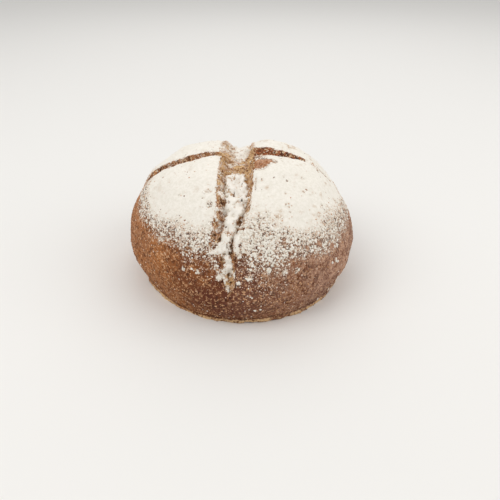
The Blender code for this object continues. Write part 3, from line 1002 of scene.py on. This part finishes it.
flourGrain = {
    "count": 9500,
    "rings": 2,
    "sides": 5,
    "radii": (0.28, 0.9),
    "mostlySmall": 1.8,
    "stretch": (0.85, 1.25),
    "flatness": (0.45, 0.8),
    "dents": 0.2,
    "lift": 0.25,
    "mostlyDark": 1.0,
    "dusty": 0.45,
    "seed": 101,
    "thinning": (0.2, 0.25, 0.9, 0.3),  # from and to which amount of flour they lie, each with its range
    "tornShare": 1.2,
    "strewnPlace": (28, -137),  # more of them lie strewn here, low on the front
    "strewnReach": (32, 17),
    "strewnShare": 0.8,
    "everywhere": 0.03,
}
flourClump = {
    "count": 3600,
    "rings": 3,
    "sides": 7,
    "radii": (0.5, 1.5),
    "mostlySmall": 2.2,
    "stretch": (0.8, 1.3),
    "flatness": (0.35, 0.65),
    "dents": 0.2,
    "lift": 0.05,
    "mostlyDark": 1.0,
    "dusty": 0.0,
    "seed": 102,
    "thinning": (0.32, 0.15, 0.85, 0.25),
    "crustShare": 0.35,
    "armShare": 0.9,  # more of them lie beside the front arm, this wide and from here on down
    "armReach": 45,
    "armStart": -70,
    "slabEdgeShare": 1.2,
    "everywhere": 0.004,
}
branFlake = {
    "count": 9000,
    "rings": 1,
    "sides": 6,
    "radii": (0.35, 1.1),
    "mostlySmall": 1.6,
    "stretch": (1.0, 1.6),
    "flatness": (0.18, 0.4),
    "dents": 0.2,
    "lift": 0.3,
    "mostlyDark": 2.4,
    "dusty": 0.0,
    "seed": 103,
    "bareShare": 0.9,  # on bare crust, and how fast they end towards the flour
    "floured": 2.6,
    "tornCut": 0.7,
    "filmCut": 0.8,
    "everywhere": 0.004,
}


def grainFinish(name, pale, dark):
    # each grain has its own shade between the two colours
    finish = Finish(name, 0.2)
    colour = finish.mix(finish.mask("shade"), dark, pale)
    height = 0.12 * finish.noise(0.5, 2.0, 0.6)
    return finish.surface(colour, 0.85, height)


flourField, tornField = crust["flour"], crust["torn"]


def flourBetween(low, lowRange, high, highRange):
    # 1 where the amount of flour lies between two, and less over a range beside each
    return np.clip((flourField - low) / lowRange, 0, 1) * np.clip((high - flourField) / highRange, 0, 1)


def grainDensity():
    # where the flour thins out, in the torn crumb where there is flour, and round the strewn place
    offX, offY = (
        (netMap[axis] - flourGrain["strewnPlace"][axis]) / flourGrain["strewnReach"][axis] for axis in (0, 1)
    )
    strewn = flourGrain["everywhere"] + flourGrain["strewnShare"] * np.exp(-(offX**2 + offY**2))
    inTorn = flourGrain["tornShare"] * tornField * np.clip(flourField * 2.5, 0, 1)
    return strewn + flourBetween(*flourGrain["thinning"]) + inTorn


def clumpDensity():
    # in the broken flour, mostly beside the front arm, and along the slabs' edges
    nearArm = np.exp(-((netMap[0] / flourClump["armReach"]) ** 2)) * (netMap[1] < flourClump["armStart"])
    edges = flourClump["slabEdgeShare"] * crust["slabEdge"] * (flourField > 0.3)
    share = flourClump["crustShare"] + flourClump["armShare"] * nearArm
    return flourBetween(*flourClump["thinning"]) * share + edges + flourClump["everywhere"]


def branDensity():
    # on the bare crust, fewer of them in the torn crumb and under the film of dust
    bare = np.clip(branFlake["bareShare"] - branFlake["floured"] * flourField, 0, 1)
    bare = bare * (1 - branFlake["tornCut"] * tornField) * (1 - branFlake["filmCut"] * crust["film"])
    return branFlake["everywhere"] + bare


looseFlour = grainFinish("looseFlour", crustColours["flour"], crustColours["grainDark"])
clumpedFlour = grainFinish("clumpedFlour", crustColours["flour"], crustColours["flourShade"])
bran = grainFinish("bran", crustColours["branLight"], crustColours["branMid"])
scatter("flourGrains", flourGrain, grainDensity(), looseFlour)
scatter("flourClumps", flourClump, clumpDensity(), clumpedFlour)
scatter("branFlakes", branFlake, branDensity(), bran)


studio = {
    "floorHalf": 12000,
    "floorColour": linear(238, 236, 232),
    "worldStrength": 0.6,
    "lights": {
        "key": {"place": (-850, -500, 1300), "size": 1.1, "power": 8},
        "fill": {"place": (1100, -300, 900), "size": 1.3, "power": 5.5},
        "back": {"place": (100, 1000, 1200), "size": 1.4, "power": 5},
    },
}
# The camera stands at the photo's own angle: a 500-pixel picture, whose focal length and whose horizon's
# distance over the middle are given in its pixels
view = {"pixels": 500, "focalPixels": 567, "horizonPixels": 345.2, "place": (9.325, -496.573, 317.922)}


def addStudio():
    half = studio["floorHalf"]
    corners = np.array([(-half, -half, 0), (half, -half, 0), (half, half, 0), (-half, half, 0)], float)
    floorFinish = Finish("paleFloor", 0.2)
    floorFinish.feed(floorFinish.shader.inputs["Base Color"], studio["floorColour"])
    floorFinish.shader.inputs["Roughness"].default_value = 0.8
    floor = addPiece("floor", corners, [(0, 1, 2, 3)], floorFinish.material, {})
    for name, made in studio["lights"].items():
        light = bpy.data.lights.new(name, "AREA")
        light.size = made["size"]
        light.energy = made["power"]
        lamp = bpy.data.objects.new(name, light)
        lamp.location = np.array(made["place"]) * mm
        lamp.rotation_euler = lamp.location.to_track_quat("Z", "Y").to_euler()
        bpy.context.scene.collection.objects.link(lamp)
    world = bpy.data.worlds.new("studio")
    world.use_nodes = True
    background = world.node_tree.nodes["Background"].inputs
    background["Color"].default_value = (1, 1, 1, 1)
    background["Strength"].default_value = studio["worldStrength"]
    bpy.context.scene.world = world
    bpy.context.scene.view_settings.view_transform = "Standard"


def addCamera():
    camera = bpy.data.cameras.new("camera")
    camera.sensor_width = 36
    camera.lens = camera.sensor_width * view["focalPixels"] / view["pixels"]
    holder = bpy.data.objects.new("camera", camera)
    holder.location = np.array(view["place"]) * mm
    holder.rotation_euler = (math.pi / 2 - math.atan(view["horizonPixels"] / view["focalPixels"]), 0, 0)
    bpy.context.scene.collection.objects.link(holder)
    bpy.context.scene.camera = holder


addStudio()
addCamera()
print("studio and camera made")
